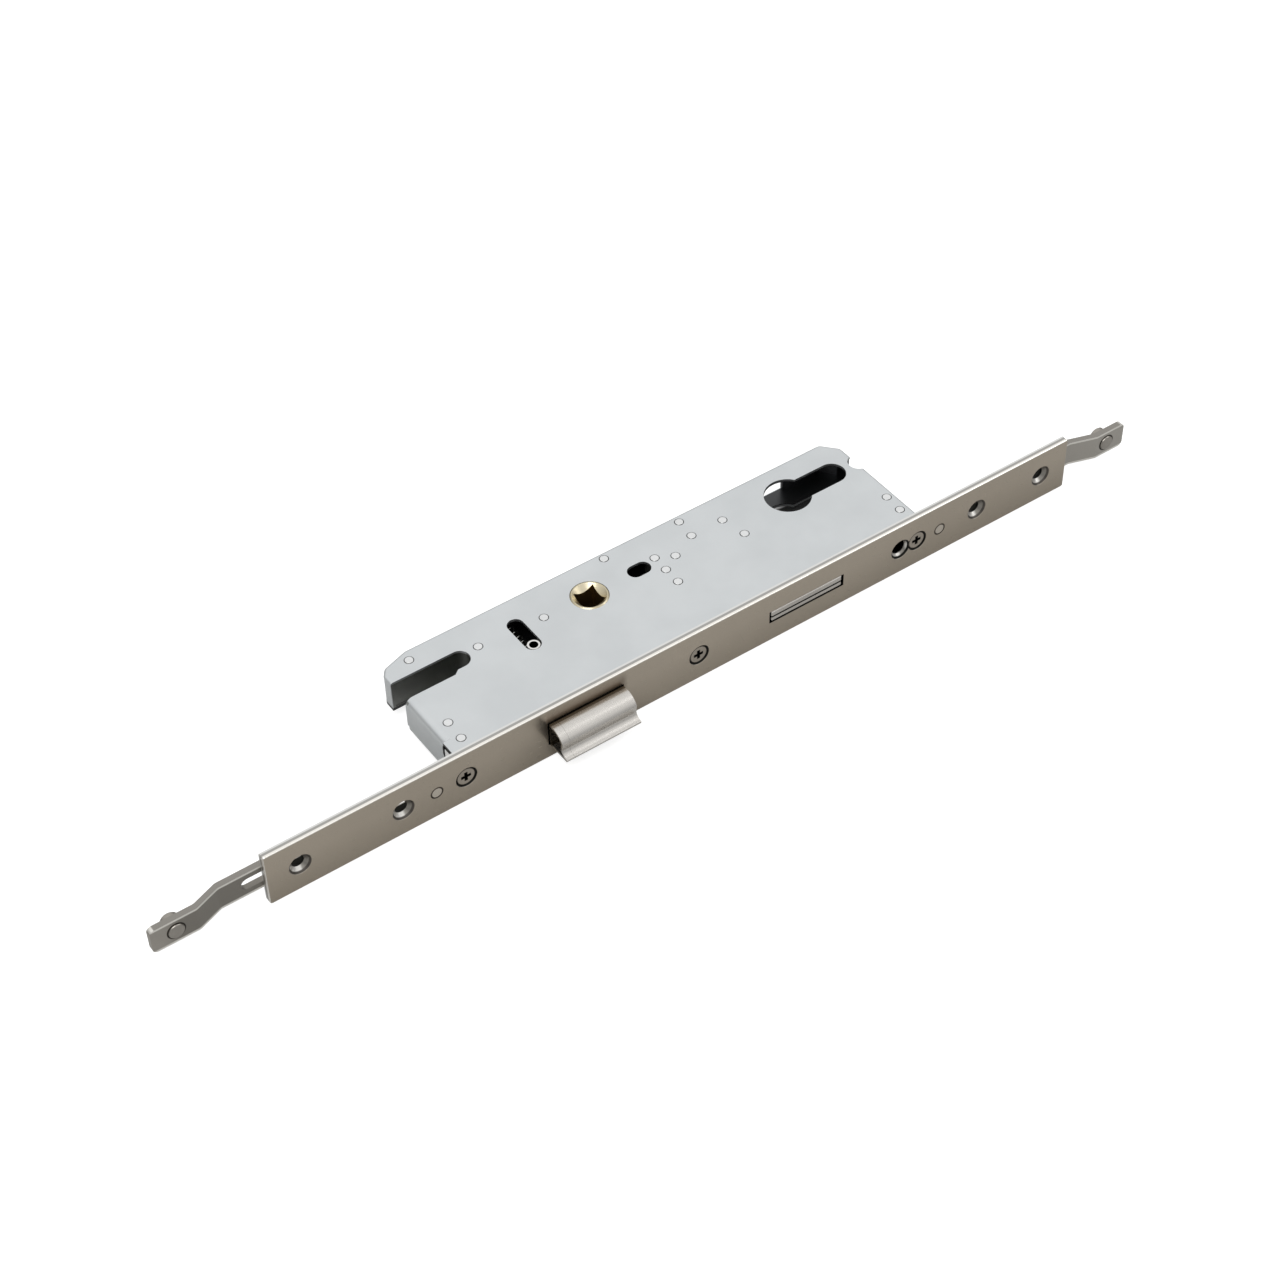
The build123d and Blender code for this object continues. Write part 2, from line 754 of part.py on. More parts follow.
# Latch pins and rivets
guide_pin_half = 6.3
drive_pin_top = 2.0
with BuildPart() as latch_guide_pin:
    with BuildSketch(Plane.XY.offset(-guide_pin_half)):
        with Locations((cross_slot_x, guide_pin_y)):
            Circle(guide_pin_radius)
            Circle(guide_pin_bore, mode=Mode.SUBTRACT)
    extrude(amount=2 * guide_pin_half)
write(latch_guide_pin, "latch_guide_pin")

with BuildPart() as latch_drive_pin:
    with BuildSketch(Plane.XY.offset(tail_bottom)):
        with Locations((latch_pin_x, latch_pin_y)):
            Circle(drive_pin_radius)
    extrude(amount=drive_pin_top - tail_bottom)
write(latch_drive_pin, "latch_drive_pin")

for number, rivet_x in enumerate(latch_rivet_xs, start=1):
    with BuildPart() as latch_rivet:
        with BuildSketch(Plane.XY.offset(tail_bottom)):
            with Locations((rivet_x, front + latch_rivet_depth)):
                Circle(latch_rivet_radius)
        extrude(amount=latch_half - tail_bottom)
    write(latch_rivet, f"latch_rivet_{number}")

# Follower: a brass hub with a square hole, a long arm for the latch and a short one for the return
hub_proud = 0.2
hub_body_radius = 7.2
hub_body_half = 5.0
arm_half = 2.2
hub_edge = 0.4
mouth_radius = 6.1
mouth_bore = 3.0
with BuildPart() as follower:
    with BuildSketch(Plane.XY.offset(-case_outer)):
        Circle(hub_radius)
    extrude(amount=case_thickness + hub_proud)
    with BuildSketch(Plane.XY.offset(-hub_body_half)):
        Circle(hub_body_radius)
    extrude(amount=2 * hub_body_half)
    with BuildSketch(Plane.XY.offset(-arm_half)):
        for length, angle in ((latch_arm, math.pi + half_turn), (return_arm, math.pi / 2 + half_turn)):
            tip = (length * math.cos(angle), length * math.sin(angle))
            SlotCenterPoint((tip[0] / 2, tip[1] / 2), tip, 2 * tip_radius)
    extrude(amount=2 * arm_half)
    with BuildSketch(Plane.XY.offset(-case_outer)):
        Rectangle(spindle, spindle)
    extrude(amount=case_thickness + hub_proud, mode=Mode.SUBTRACT)
    ends = follower.faces().sort_by(Axis.Z)
    for end in (ends[0], ends[-1]):
        chamfer(end.outer_wire().edges(), hub_edge)
    mouths = (Plane.XY.offset(case_outer + hub_proud), Plane((0, 0, -case_outer), z_dir=(0, 0, -1)))
    for mouth in mouths:
        with Locations(mouth):
            CounterSinkHole(mouth_bore, mouth_radius, counter_sink_angle=90)
write(follower, "follower")

# Return plunger: a round nose under the short arm, a collar for the spring and a stem
collar_gap = 0.2
plunger_collar = 0.6
plunger_collar_radius = 1.75
stem_radius = 0.7
stem_overhang = 2.0
seat_left = 11.6
seat_right = 16.4
seat_back = case_back - sheet - lug_wall_play
seat_depth = 6.8
seat_front = seat_back - seat_depth
with BuildPart() as return_plunger:
    with BuildSketch(Plane.XY.offset(-arm_half)):
        with Locations((plunger_x, plunger_y)):
            Circle(tip_radius)
        rectangle_between(
            plunger_x, plunger_y - tip_radius, plunger_x + tip_radius + collar_gap, plunger_y + tip_radius
        )
    extrude(amount=2 * arm_half)
    with BuildSketch(Plane.YZ.offset(plunger_x + tip_radius + collar_gap)):
        with Locations((plunger_y, 0)):
            Circle(plunger_collar_radius)
    extrude(amount=plunger_collar)
    with BuildSketch(Plane.YZ.offset(plunger_x + tip_radius + collar_gap)):
        with Locations((plunger_y, 0)):
            Circle(stem_radius)
    extrude(amount=seat_right + stem_overhang - plunger_x - tip_radius - collar_gap)
write(return_plunger, "return_plunger")
collar_face = plunger_x + tip_radius + collar_gap + plunger_collar

# Return seat: a riveted block that the stem slides through
with BuildPart() as return_seat:
    with BuildSketch(Plane.XY.offset(-case_inner)):
        rectangle_between(seat_left, seat_front, seat_right, seat_back)
        with Locations((return_rivet_x, return_rivet_y)):
            Circle(rivet_radius + press_play, mode=Mode.SUBTRACT)
    extrude(amount=2 * case_inner)
    with BuildSketch(Plane.YZ.offset(seat_left - overrun)):
        with Locations((plunger_y, 0)):
            Circle(stem_radius + slide_play)
    extrude(amount=seat_right - seat_left + 2 * overrun, mode=Mode.SUBTRACT)
write(return_seat, "return_seat")

# Latch spring seat: a riveted block whose arm lies over the latch's tail and holds a peg for the spring
latch_seat_left = flange_right + free_play
latch_seat_right = -40.9
latch_seat_front = -1.5
latch_seat_inset = 4.5
latch_seat_face = case_back - latch_seat_inset
latch_arm_right = -24.6
peg_radius = 1.2
peg_length = 3.0
with BuildPart() as latch_seat:
    with BuildSketch(Plane.XY.offset(-case_inner)):
        rectangle_between(latch_seat_left, latch_seat_front, latch_seat_right, seat_back)
        with Locations((seat_rivet_x, seat_rivet_y)):
            Circle(rivet_radius + press_play, mode=Mode.SUBTRACT)
    extrude(amount=2 * case_inner)
    with BuildSketch(Plane.XY.offset(tail_top + free_play)):
        rectangle_between(latch_seat_left, latch_seat_face, latch_arm_right, seat_back)
    extrude(amount=case_inner - tail_top - free_play)
    with BuildSketch(front_view(latch_seat_face - peg_length)):
        with Locations((cross_slot_x, 0)):
            Circle(peg_radius)
    extrude(amount=-peg_length)
write(latch_seat, "latch_seat")

# Springs
wire_sides = 6


def helix_point(place, radius, rise, turn):
    """A point of a helix about the plane's Z axis, after so many turns."""
    angle = 2 * math.pi * turn
    return place.from_local_coords((radius * math.cos(angle), radius * math.sin(angle), rise * turn))


def helix_direction(place, radius, rise, turn):
    """The helix's direction at that point, as a unit vector."""
    angle = 2 * math.pi * turn
    climb = rise / (2 * math.pi)
    ahead = place.from_local_coords((-radius * math.sin(angle), radius * math.cos(angle), climb))
    return (ahead - place.origin).normalized()


def coil(place, radius, wire, length, turns):
    """A compression spring as one six-sided wire, swept along biarcs of half a turn each."""
    rise = (length - wire) / turns
    start = Plane(place.origin + place.z_dir * (wire / 2), x_dir=place.x_dir, z_dir=place.z_dir)
    with BuildPart() as spring:
        with BuildLine() as path:
            for half in range(2 * turns):
                first = helix_point(start, radius, rise, half / 2)
                last = helix_point(start, radius, rise, (half + 1) / 2)
                leave = helix_direction(start, radius, rise, half / 2)
                arrive = helix_direction(start, radius, rise, (half + 1) / 2)
                chord = last - first
                square = 2 * (1 - leave.dot(arrive))
                linear = 2 * chord.dot(leave + arrive)
                reach = (-linear + math.sqrt(linear**2 + 4 * square * chord.dot(chord))) / (2 * square)
                meeting = (first + leave * reach + last - arrive * reach) / 2
                across = (last - arrive * reach) - (first + leave * reach)
                TangentArc(first, meeting, tangent=leave)
                TangentArc(meeting, last, tangent=across)
        with BuildSketch(Plane(path.line @ 0, z_dir=path.line % 0)):
            RegularPolygon(wire / 2, wire_sides)
        sweep()
    points = [helix_point(start, radius, rise, step / 48) for step in range(48 * turns + 1)]
    later = [(points[i], points[j]) for i in range(len(points)) for j in range(i + 24, len(points))]
    gap = min((second - first).length for first, second in later) - wire
    print(f"least gap of the spring to itself {gap:.2f} mm")
    return spring


# The latch's spring lies along Y behind the guide pin, the follower's along X round the plunger's stem
latch_wire = 0.6
latch_coil_radius = 1.9
latch_turns = 6
return_wire = 0.4
return_coil_radius = 1.45
return_turns = 4
spring_end_play = 0.1
spring_front = guide_pin_y + guide_pin_radius + spring_end_play
latch_spring = coil(
    Plane((cross_slot_x, spring_front, 0), x_dir=(1, 0, 0), z_dir=(0, 1, 0)),
    latch_coil_radius,
    latch_wire,
    latch_seat_face - spring_end_play - spring_front,
    latch_turns,
)
write(latch_spring, "latch_spring")
return_spring = coil(
    Plane((collar_face + spring_end_play, plunger_y, 0), x_dir=(0, 1, 0), z_dir=(1, 0, 0)),
    return_coil_radius,
    return_wire,
    seat_left - collar_face - 2 * spring_end_play,
    return_turns,
)
write(return_spring, "return_spring")

# Deadbolt: two leaves with a tail that runs between the guide posts
bolt_pin_x = 56.0
bolt_pin_y = -14.0
bolt_pin_radius = 2.0
bolt_pin_wall = 2.6
bolt_head_back = -14.0
bolt_head_slope = 62.0
bolt_shoulder_x = 59.6
bolt_shoulder_y = -9.6
tail_end_inset = 1.7
tail_end_y = case_back - tail_end_inset
tail_notch_x = 48.4
tail_notch = 4.0
tail_notch_y = tail_end_y - tail_notch
tail_notch_rise = 0.7
bolt_tail_right = guide_right_x - guide_post_radius - slide_play
leaf_groove = 0.25
bolt_rivet_radius = 1.5
front_rivet_xs = [53.5, 71.7]
front_rivet_y = -30.0
talon_rivet_xs = [66.2, 73.0]
talon_rivet_y = -16.8
front_rivets = [(x, front_rivet_y) for x in front_rivet_xs]
talon_rivets = [(x, talon_rivet_y) for x in talon_rivet_xs]
with BuildSketch() as bolt_outline:
    with BuildLine():
        Polyline(
            (bolt_left, front),
            (bolt_right, front),
            (bolt_right, bolt_head_back),
            (bolt_head_slope, bolt_head_back),
            (bolt_shoulder_x, bolt_shoulder_y),
            (bolt_tail_right, bolt_shoulder_y),
            (bolt_tail_right, tail_end_y),
            (tail_notch_x, tail_end_y),
            (tail_notch_x, tail_notch_y),
            (bolt_left, tail_notch_y - tail_notch_rise),
            close=True,
        )
    make_face()
    with Locations((bolt_pin_x, bolt_pin_y)):
        Circle(bolt_pin_radius + press_play, mode=Mode.SUBTRACT)
    with Locations(*(front_rivets + talon_rivets)):
        Circle(bolt_rivet_radius + press_play, mode=Mode.SUBTRACT)
for name, bottom in (("deadbolt_lower", -bolt_leaf), ("deadbolt_upper", 0)):
    with BuildPart() as leaf:
        with BuildSketch(Plane.XY.offset(bottom)):
            add(bolt_outline.sketch)
        extrude(amount=bolt_leaf)
        chamfer(leaf.faces().sort_by(Axis.Y)[0].edges(), leaf_groove)
    write(leaf, name)

# Talon: the arm that the cylinder's cam drives, riveted on the deadbolt
talon_sheet = 2.4
talon_left = arm_post_x + arm_post_radius + slide_play
talon_base_front = -19.5
talon_base_right = 76.5
talon_base_back = -14.2
talon_arm_right = 69.2
talon_lip_x = 73.0
talon_lip = 2.0
talon_notch = 7.0
talon_notch_back = tail_end_y - talon_lip
talon_notch_front = talon_notch_back - talon_notch
with BuildPart() as talon:
    with BuildSketch(Plane.XY.offset(bolt_leaf)):
        rectangle_between(talon_left, talon_base_front, talon_base_right, talon_base_back)
        rectangle_between(talon_left, talon_base_front, talon_arm_right, talon_notch_back + talon_lip)
        rectangle_between(talon_left, talon_notch_front - talon_lip, talon_lip_x, talon_notch_front)
        rectangle_between(talon_left, talon_notch_back, talon_lip_x, talon_notch_back + talon_lip)
        with Locations(*talon_rivets):
            Circle(bolt_rivet_radius + press_play, mode=Mode.SUBTRACT)
    extrude(amount=talon_sheet)
write(talon, "talon")

# Deadbolt rivets and drive pin
plate_bottom = -5.0
plate_sheet = 2.5
bolt_rivet_tops = [bolt_leaf, bolt_leaf, bolt_leaf + talon_sheet, bolt_leaf + talon_sheet]
for number, (place, top) in enumerate(zip(front_rivets + talon_rivets, bolt_rivet_tops), start=1):
    with BuildPart() as bolt_rivet:
        with BuildSketch(Plane.XY.offset(-bolt_leaf)):
            with Locations(place):
                Circle(bolt_rivet_radius)
        extrude(amount=top + bolt_leaf)
    write(bolt_rivet, f"deadbolt_rivet_{number}")

with BuildPart() as deadbolt_pin:
    with BuildSketch(Plane.XY.offset(plate_bottom)):
        with Locations((bolt_pin_x, bolt_pin_y)):
            Circle(bolt_pin_radius)
    extrude(amount=bolt_leaf - plate_bottom)
write(deadbolt_pin, "deadbolt_pin")

# Drive plate: riveted to the rail's back, its slanted slot throws the deadbolt
strip_depth = 12.9
strip_right = 50.0
tab_sheet = 2.0
slot_pin_half = bolt_pin_radius + slide_play
slot_wall = 2.5
slot_low_x = bolt_pin_x - rail_travel
slot_low_y = bolt_pin_y - bolt_throw
slot_middle = ((bolt_pin_x + slot_low_x) / 2, (bolt_pin_y + slot_low_y) / 2)
with BuildPart() as drive_plate:
    with BuildSketch(Plane.XY.offset(plate_bottom)):
        rectangle_between(tab_left, rail_back, strip_right, front + strip_depth)
        SlotCenterPoint(slot_middle, (bolt_pin_x, bolt_pin_y), 2 * (slot_pin_half + slot_wall))
        with BuildLine():
            Polyline(
                (strip_right, rail_back),
                (bolt_pin_x + slot_pin_half + slot_wall, bolt_pin_y),
                (slot_low_x, slot_low_y),
                close=True,
            )
        make_face()
        rectangle_between(tab_left, rail_back - 2 * overrun, bolt_right, rail_back, mode=Mode.SUBTRACT)
        SlotCenterPoint(slot_middle, (bolt_pin_x, bolt_pin_y), 2 * slot_pin_half, mode=Mode.SUBTRACT)
    extrude(amount=plate_sheet)
    with BuildSketch(front_view(rail_back)):
        rectangle_between(tab_left, plate_bottom, tab_right, -plate_bottom)
    extrude(amount=-tab_sheet)
    with BuildSketch(front_view(rail_back)):
        with Locations(*[(x, 0) for x in tab_rivet_xs]):
            Circle(tab_rivet_radius + press_play)
    extrude(amount=-tab_sheet, mode=Mode.SUBTRACT)
write(drive_plate, "drive_plate")

tab_head_radius = 2.3
tab_head_height = 0.9
tab_rivet_sink = 0.05
for number, rivet_x in enumerate(tab_rivet_xs, start=1):
    with BuildPart() as tab_rivet:
        with BuildSketch(front_view(rail_front + tab_rivet_sink)):
            with Locations((rivet_x, 0)):
                Circle(tab_rivet_radius)
        extrude(amount=-(rail_thickness + tab_sheet - tab_rivet_sink))
        with BuildSketch(front_view(rail_back + tab_sheet)):
            with Locations((rivet_x, 0)):
                Circle(tab_head_radius)
        extrude(amount=-tab_head_height)
    write(tab_rivet, f"drive_rivet_{number}")
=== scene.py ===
import math

import bmesh
import bpy
import numpy as np
from mathutils import Matrix, Vector


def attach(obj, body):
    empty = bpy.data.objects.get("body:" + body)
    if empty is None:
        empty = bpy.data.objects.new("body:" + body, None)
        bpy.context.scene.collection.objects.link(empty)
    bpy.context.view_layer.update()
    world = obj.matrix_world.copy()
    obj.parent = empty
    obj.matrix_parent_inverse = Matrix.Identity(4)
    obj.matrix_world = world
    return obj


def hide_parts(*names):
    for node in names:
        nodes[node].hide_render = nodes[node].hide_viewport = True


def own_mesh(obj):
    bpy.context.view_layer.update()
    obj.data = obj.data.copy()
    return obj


# A multipoint door lock on a pale studio floor. Metres throughout, in the lock's own frame:
# X along the face plate, Y into the door, Z across its thickness, origin on the spindle's axis.

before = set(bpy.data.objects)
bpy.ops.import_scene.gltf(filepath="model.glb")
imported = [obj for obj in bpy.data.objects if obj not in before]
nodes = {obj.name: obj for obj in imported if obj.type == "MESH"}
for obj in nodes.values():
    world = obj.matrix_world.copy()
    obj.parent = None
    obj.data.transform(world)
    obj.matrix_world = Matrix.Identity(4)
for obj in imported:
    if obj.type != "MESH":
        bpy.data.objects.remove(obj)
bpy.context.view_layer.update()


# Places on the lock, read from its nodes

def span(name):
    """The low and high corners of a node."""
    corners = np.array([tuple(corner) for corner in nodes[name].bound_box])
    return corners.min(axis=0), corners.max(axis=0)


def axis_x(name):
    """Where the middle of a node lies along X."""
    low, high = span(name)
    return (low[0] + high[0]) / 2


face_low, face_high = span("faceplate")
case_low, case_high = span("case_cover")
latch_low, latch_high = span("latch_bolt")
bolt_low, bolt_high = span("deadbolt_upper")
front = face_low[1]
bolt_foot = -bolt_high[2]
case_outer = -case_low[2]
guide_stud_xs = [axis_x("guide_stud_left"), axis_x("guide_stud_right")]
rod_stud_xs = [axis_x("rod_stud_left"), axis_x("rod_stud_right")]

# Places without a node: plain holes along the face plate, the left window, the sheets' inner faces,
# and the case's slanted corner, as a point on it, the way it faces and its reach that way
mount_xs = [-0.1374, -0.0995, 0.1387, 0.1686]
cylinder_screw_x = 0.1040
screw_xs = [axis_x(f"case_screw_{number}") for number in (1, 2, 3)] + [cylinder_screw_x]
window_back = front + 0.012
plate_inner = case_outer - 0.0010
corner_point = (0.1115, 0.0139)
corner_way = (0.7505, 0.6609)
corner_reach = corner_point[0] * corner_way[0] + corner_point[1] * corner_way[1]

# Tones and grain that several finishes share
# Painted shadow: black for gaps, bores, recesses and openings
painted_shadow_black = (0.012, 0.012, 0.010)
# Painted shade for what lies inside the case
inside_shade_grey = (0.080, 0.082, 0.085)
# Painted shade for the rings round studs
ring_shade_brown = (0.10, 0.085, 0.07)
cloud_band = (0.35, 0.65)
grain_band = (0.3, 0.7)
grain_scale = 3000.0
noise_detail = 3.0
gloss_spread = 0.03
even_grain = (1, 1, 1)
long_grain = (0.1, 1, 1)

# How nodes are set out in their editor
nodes_in_row = 8
node_width = 200
node_height = 260


# Finishes

class Finish:
    """A finish on object coordinates: a cloudy tone between two colours, with shades painted over parts."""

    def __init__(self, name, dark, light, roughness, metallic, cloud_scale=60.0, grain=even_grain):
        self.material = bpy.data.materials.new(name)
        self.material.use_nodes = True
        self.tree = self.material.node_tree
        self.tree.nodes.clear()
        self.shader = self.node("ShaderNodeBsdfPrincipled")
        self.shader.inputs["Metallic"].default_value = metallic
        out = self.node("ShaderNodeOutputMaterial")
        self.tree.links.new(self.shader.outputs["BSDF"], out.inputs["Surface"])
        self.place = self.node("ShaderNodeTexCoord").outputs["Object"]
        split = self.node("ShaderNodeSeparateXYZ")
        self.tree.links.new(self.place, split.inputs["Vector"])
        self.x, self.y, self.z = split.outputs
        cloud = self.noise(cloud_scale, even_grain)
        self.colour = self.mix(self.step(cloud, *cloud_band), dark, light)
        fine = self.noise(grain_scale, grain)
        gloss = self.step(fine, *grain_band, roughness - gloss_spread, roughness + gloss_spread)
        self.tree.links.new(gloss, self.shader.inputs["Roughness"])
        self.tree.links.new(self.colour, self.shader.inputs["Base Color"])

    def node(self, kind, **settings):
        """A new node, set out in rows."""
        made = self.tree.nodes.new(kind)
        row, column = divmod(len(self.tree.nodes) - 1, nodes_in_row)
        made.location = (column * node_width, -row * node_height)
        for key, value in settings.items():
            setattr(made, key, value)
        return made

    def noise(self, scale, stretch):
        """Noise, stretched along the axes by the given factors."""
        mapping = self.node("ShaderNodeMapping")
        mapping.inputs["Scale"].default_value = stretch
        self.tree.links.new(self.place, mapping.inputs["Vector"])
        made = self.node("ShaderNodeTexNoise")
        made.inputs["Scale"].default_value = scale
        made.inputs["Detail"].default_value = noise_detail
        self.tree.links.new(mapping.outputs["Vector"], made.inputs["Vector"])
        return made.outputs["Fac"]

    def calc(self, operation, *values):
        """The result of a sum on sockets and plain numbers."""
        made = self.node("ShaderNodeMath", operation=operation)
        for socket, value in zip(made.inputs, values):
            if isinstance(value, bpy.types.NodeSocket):
                self.tree.links.new(value, socket)
            else:
                socket.default_value = value
        return made.outputs["Value"]

    def size(self, value):
        """A value without its sign."""
        return self.calc("ABSOLUTE", value)

    def off(self, value, place):
        """How far a coordinate lies from a place."""
        return self.size(self.calc("SUBTRACT", value, place))

    def step(self, value, start, end, low=0.0, high=1.0):
        """The low value at the start, the high one at the end, even in between and level beyond."""
        made = self.node("ShaderNodeMapRange")
        for name, number in (("From Min", start), ("From Max", end), ("To Min", low), ("To Max", high)):
            made.inputs[name].default_value = number
        self.tree.links.new(value, made.inputs["Value"])
        return made.outputs["Result"]

    def within(self, value, low, high, soft=0.0001):
        """One between two values, falling to zero over the soft width outside them."""
        half = (high - low) / 2
        return self.step(self.off(value, (low + high) / 2), half + soft, half)

    def both(self, *masks):
        """Where every mask holds: their product."""
        product = masks[0]
        for mask in masks[1:]:
            product = self.calc("MULTIPLY", product, mask)
        return product

    def either(self, first, second):
        """Where one of two masks holds: the larger."""
        return self.calc("MAXIMUM", first, second)

    def nearest(self, value, places):
        """How far a coordinate lies from the nearest of the places."""
        least = None
        for place in places:
            off = self.off(value, place)
            least = off if least is None else self.calc("MINIMUM", least, off)
        return least

    def to_axes(self, across, along, places):
        """The distance to the nearest of the axes at the places, which run square to both coordinates."""
        off = self.nearest(across, places)
        squares = self.calc("ADD", self.calc("POWER", off, 2.0), self.calc("POWER", along, 2.0))
        return self.calc("SQRT", squares)

    def mix(self, factor, first, second):
        """A colour between two, each a socket or a plain colour."""
        made = self.node("ShaderNodeMix", data_type="RGBA")
        self.tree.links.new(factor, made.inputs[0])
        for socket, colour in ((made.inputs[6], first), (made.inputs[7], second)):
            if isinstance(colour, tuple):
                socket.default_value = (*colour, 1)
            else:
                self.tree.links.new(colour, socket)
        return made.outputs[2]

    def paint(self, mask, tone):
        """Covers what the mask covers with a tone."""
        self.colour = self.mix(mask, self.colour, tone)
        self.tree.links.new(self.colour, self.shader.inputs["Base Color"])


def paint_inside_shade(finish):
    """Paints shade over what lies between the case's plates and inside its slanted corner."""
    end_wall = 0.0009
    back_wall = 0.0003
    joint_play = 0.0001
    corner_wall = (0.0001, 0.0004)
    towards_corner = finish.calc(
        "ADD",
        finish.calc("MULTIPLY", finish.x, corner_way[0]),
        finish.calc("MULTIPLY", finish.y, corner_way[1]),
    )
    inside = finish.both(
        finish.within(finish.x, case_low[0] + end_wall, case_high[0] - back_wall),
        finish.within(finish.y, case_low[1] - joint_play, case_high[1] - back_wall),
        finish.within(finish.z, -plate_inner, plate_inner),
        finish.step(towards_corner, corner_reach - corner_wall[0], corner_reach - corner_wall[1]),
    )
    # Painted shade inside the case
    finish.paint(inside, inside_shade_grey)


def paint_rim_light_and_shade(finish):
    """Paints the face plate's four edges in three bands, from its back to its front: paler as bare cut metal
    and as painted light, then painted shade, then a bright painted highlight.
    """
    bare_edge_light_tone = (0.80, 0.80, 0.78)
    bands = (((0.0022, 0.0019), (0.42, 0.41, 0.39)), ((0.0012, 0.0009), (0.95, 0.92, 0.86)))
    start = 0.0003
    end = 0.0001
    half_length = (face_high[0] - face_low[0]) / 2
    rim = finish.either(
        finish.step(finish.size(finish.z), face_high[2] - start, face_high[2] - end),
        finish.step(finish.off(finish.x, axis_x("faceplate")), half_length - start, half_length - end),
    )
    # Edges paler as bare cut metal and as painted light
    finish.paint(rim, bare_edge_light_tone)
    # A painted shade band, then a bright painted highlight band at the front
    for (deep, shallow), tone in bands:
        finish.paint(finish.both(rim, finish.step(finish.y, front + deep, front + shallow)), tone)


def paint_countersinks(finish, sunk):
    """Paints light and shade into the face plate's holes: painted shade on the cone with a painted highlight
    at its left, a painted shade ring, painted shadow in the bore.
    """
    cone_radii = (0.0046, 0.0045)
    cone_shade = (0.28, 0.265, 0.24)
    cone_light = (0.78, 0.76, 0.72)
    light_shift = 0.0020
    light_reach = (0.0030, 0.0022)
    ring_radii = (0.0033, 0.0035)
    mount_ring_shade = (0.10, 0.09, 0.08)
    bore_depths = (0.0018, 0.0019)
    bored = finish.step(finish.y, front + bore_depths[0], front + bore_depths[1])
    for places, ring_tone in ((screw_xs, painted_shadow_black), (mount_xs, mount_ring_shade)):
        distance = finish.to_axes(finish.x, finish.z, places)
        hole = finish.both(sunk, finish.step(distance, *cone_radii))
        # Painted shade on the cone, a painted highlight at its left, a painted shade ring and painted shadow
        # in the bore
        finish.paint(hole, cone_shade)
        left_half = finish.nearest(finish.x, [place - light_shift for place in places])
        finish.paint(finish.both(hole, finish.step(left_half, *light_reach)), cone_light)
        finish.paint(finish.both(hole, finish.step(distance, *ring_radii)), ring_tone)
        finish.paint(finish.both(hole, bored), painted_shadow_black)


def faceplate_silver():
    """Satin strip with painted shade, darker and browner towards its foot and over the latch, and painted
    light and shade on its rim, countersinks, rings and openings.
    """
    foot_shade_brown = (0.38, 0.335, 0.275)
    foot_fade = (0.004, -0.014)
    halo_shade_brown = (0.26, 0.215, 0.17)
    halo_side = 0.002
    halo_top = (0.0108, 0.0070)
    halo_foot = (0.0, 0.0030)
    sunk_depths = (0.00005, 0.00015)
    stud_ring = (0.00250, 0.00235)
    opening_half = 0.0052
    opening_play = 0.001
    bolt_side_gap = 0.0009
    bolt_foot_gap = 0.0003
    bolt_top_gap = 0.0001
    finish = Finish(
        "faceplate_silver", dark=(0.46, 0.405, 0.333), light=(0.49, 0.433, 0.358),
        roughness=0.30, metallic=0.95, cloud_scale=15, grain=long_grain,
    )
    # Painted shade, darker and browner towards the foot
    finish.paint(finish.step(finish.z, *foot_fade), foot_shade_brown)
    # Painted shade on the plate over the latch
    halo = finish.both(
        finish.within(finish.x, latch_low[0], latch_high[0], halo_side),
        finish.step(finish.z, *halo_top),
        finish.step(finish.z, *halo_foot),
    )
    finish.paint(halo, halo_shade_brown)
    paint_rim_light_and_shade(finish)
    sunk = finish.step(finish.y, front + sunk_depths[0], front + sunk_depths[1])
    paint_countersinks(finish, sunk)
    # Painted shade in the ring round each guide stud
    finish.paint(finish.step(finish.to_axes(finish.x, finish.z, guide_stud_xs), *stud_ring), ring_shade_brown)
    # Painted shadow in the openings round the latch and the deadbolt
    openings = finish.both(
        sunk,
        finish.within(finish.z, -opening_half, opening_half),
        finish.either(
            finish.within(finish.x, latch_low[0] - opening_play, latch_high[0] + opening_play),
            finish.within(finish.x, bolt_low[0] - opening_play, bolt_high[0] + opening_play),
        ),
    )
    finish.paint(openings, painted_shadow_black)
    # Painted shadow in the gap round the deadbolt
    bolt_edge = finish.both(
        finish.within(finish.x, bolt_low[0] - bolt_side_gap, bolt_high[0] + bolt_side_gap),
        finish.within(finish.z, bolt_foot - bolt_foot_gap, bolt_high[2] + bolt_top_gap),
    )
    finish.paint(bolt_edge, painted_shadow_black)
    return finish.material


def paint_end_slot_shade(finish):
    """Paints shade on the walls of the open slot in the case's left end, lighter towards its mouth."""
    slot_x = (case_low[0] + 0.0003, -0.0465)
    slot_y = (-0.0058, 0.0056)
    slot_shade_grey = (0.17, 0.175, 0.16)
    mouth_shade_grey = (0.34, 0.345, 0.33)
    mouth_fade = (-0.060, -0.075)
    slot = finish.both(
        finish.within(finish.x, *slot_x),
        finish.within(finish.y, *slot_y),
        finish.within(finish.z, -plate_inner, plate_inner),
    )
    # Painted shade on the slot's walls, lighter towards its mouth
    finish.paint(slot, slot_shade_grey)
    finish.paint(finish.both(slot, finish.step(finish.x, *mouth_fade)), mouth_shade_grey)


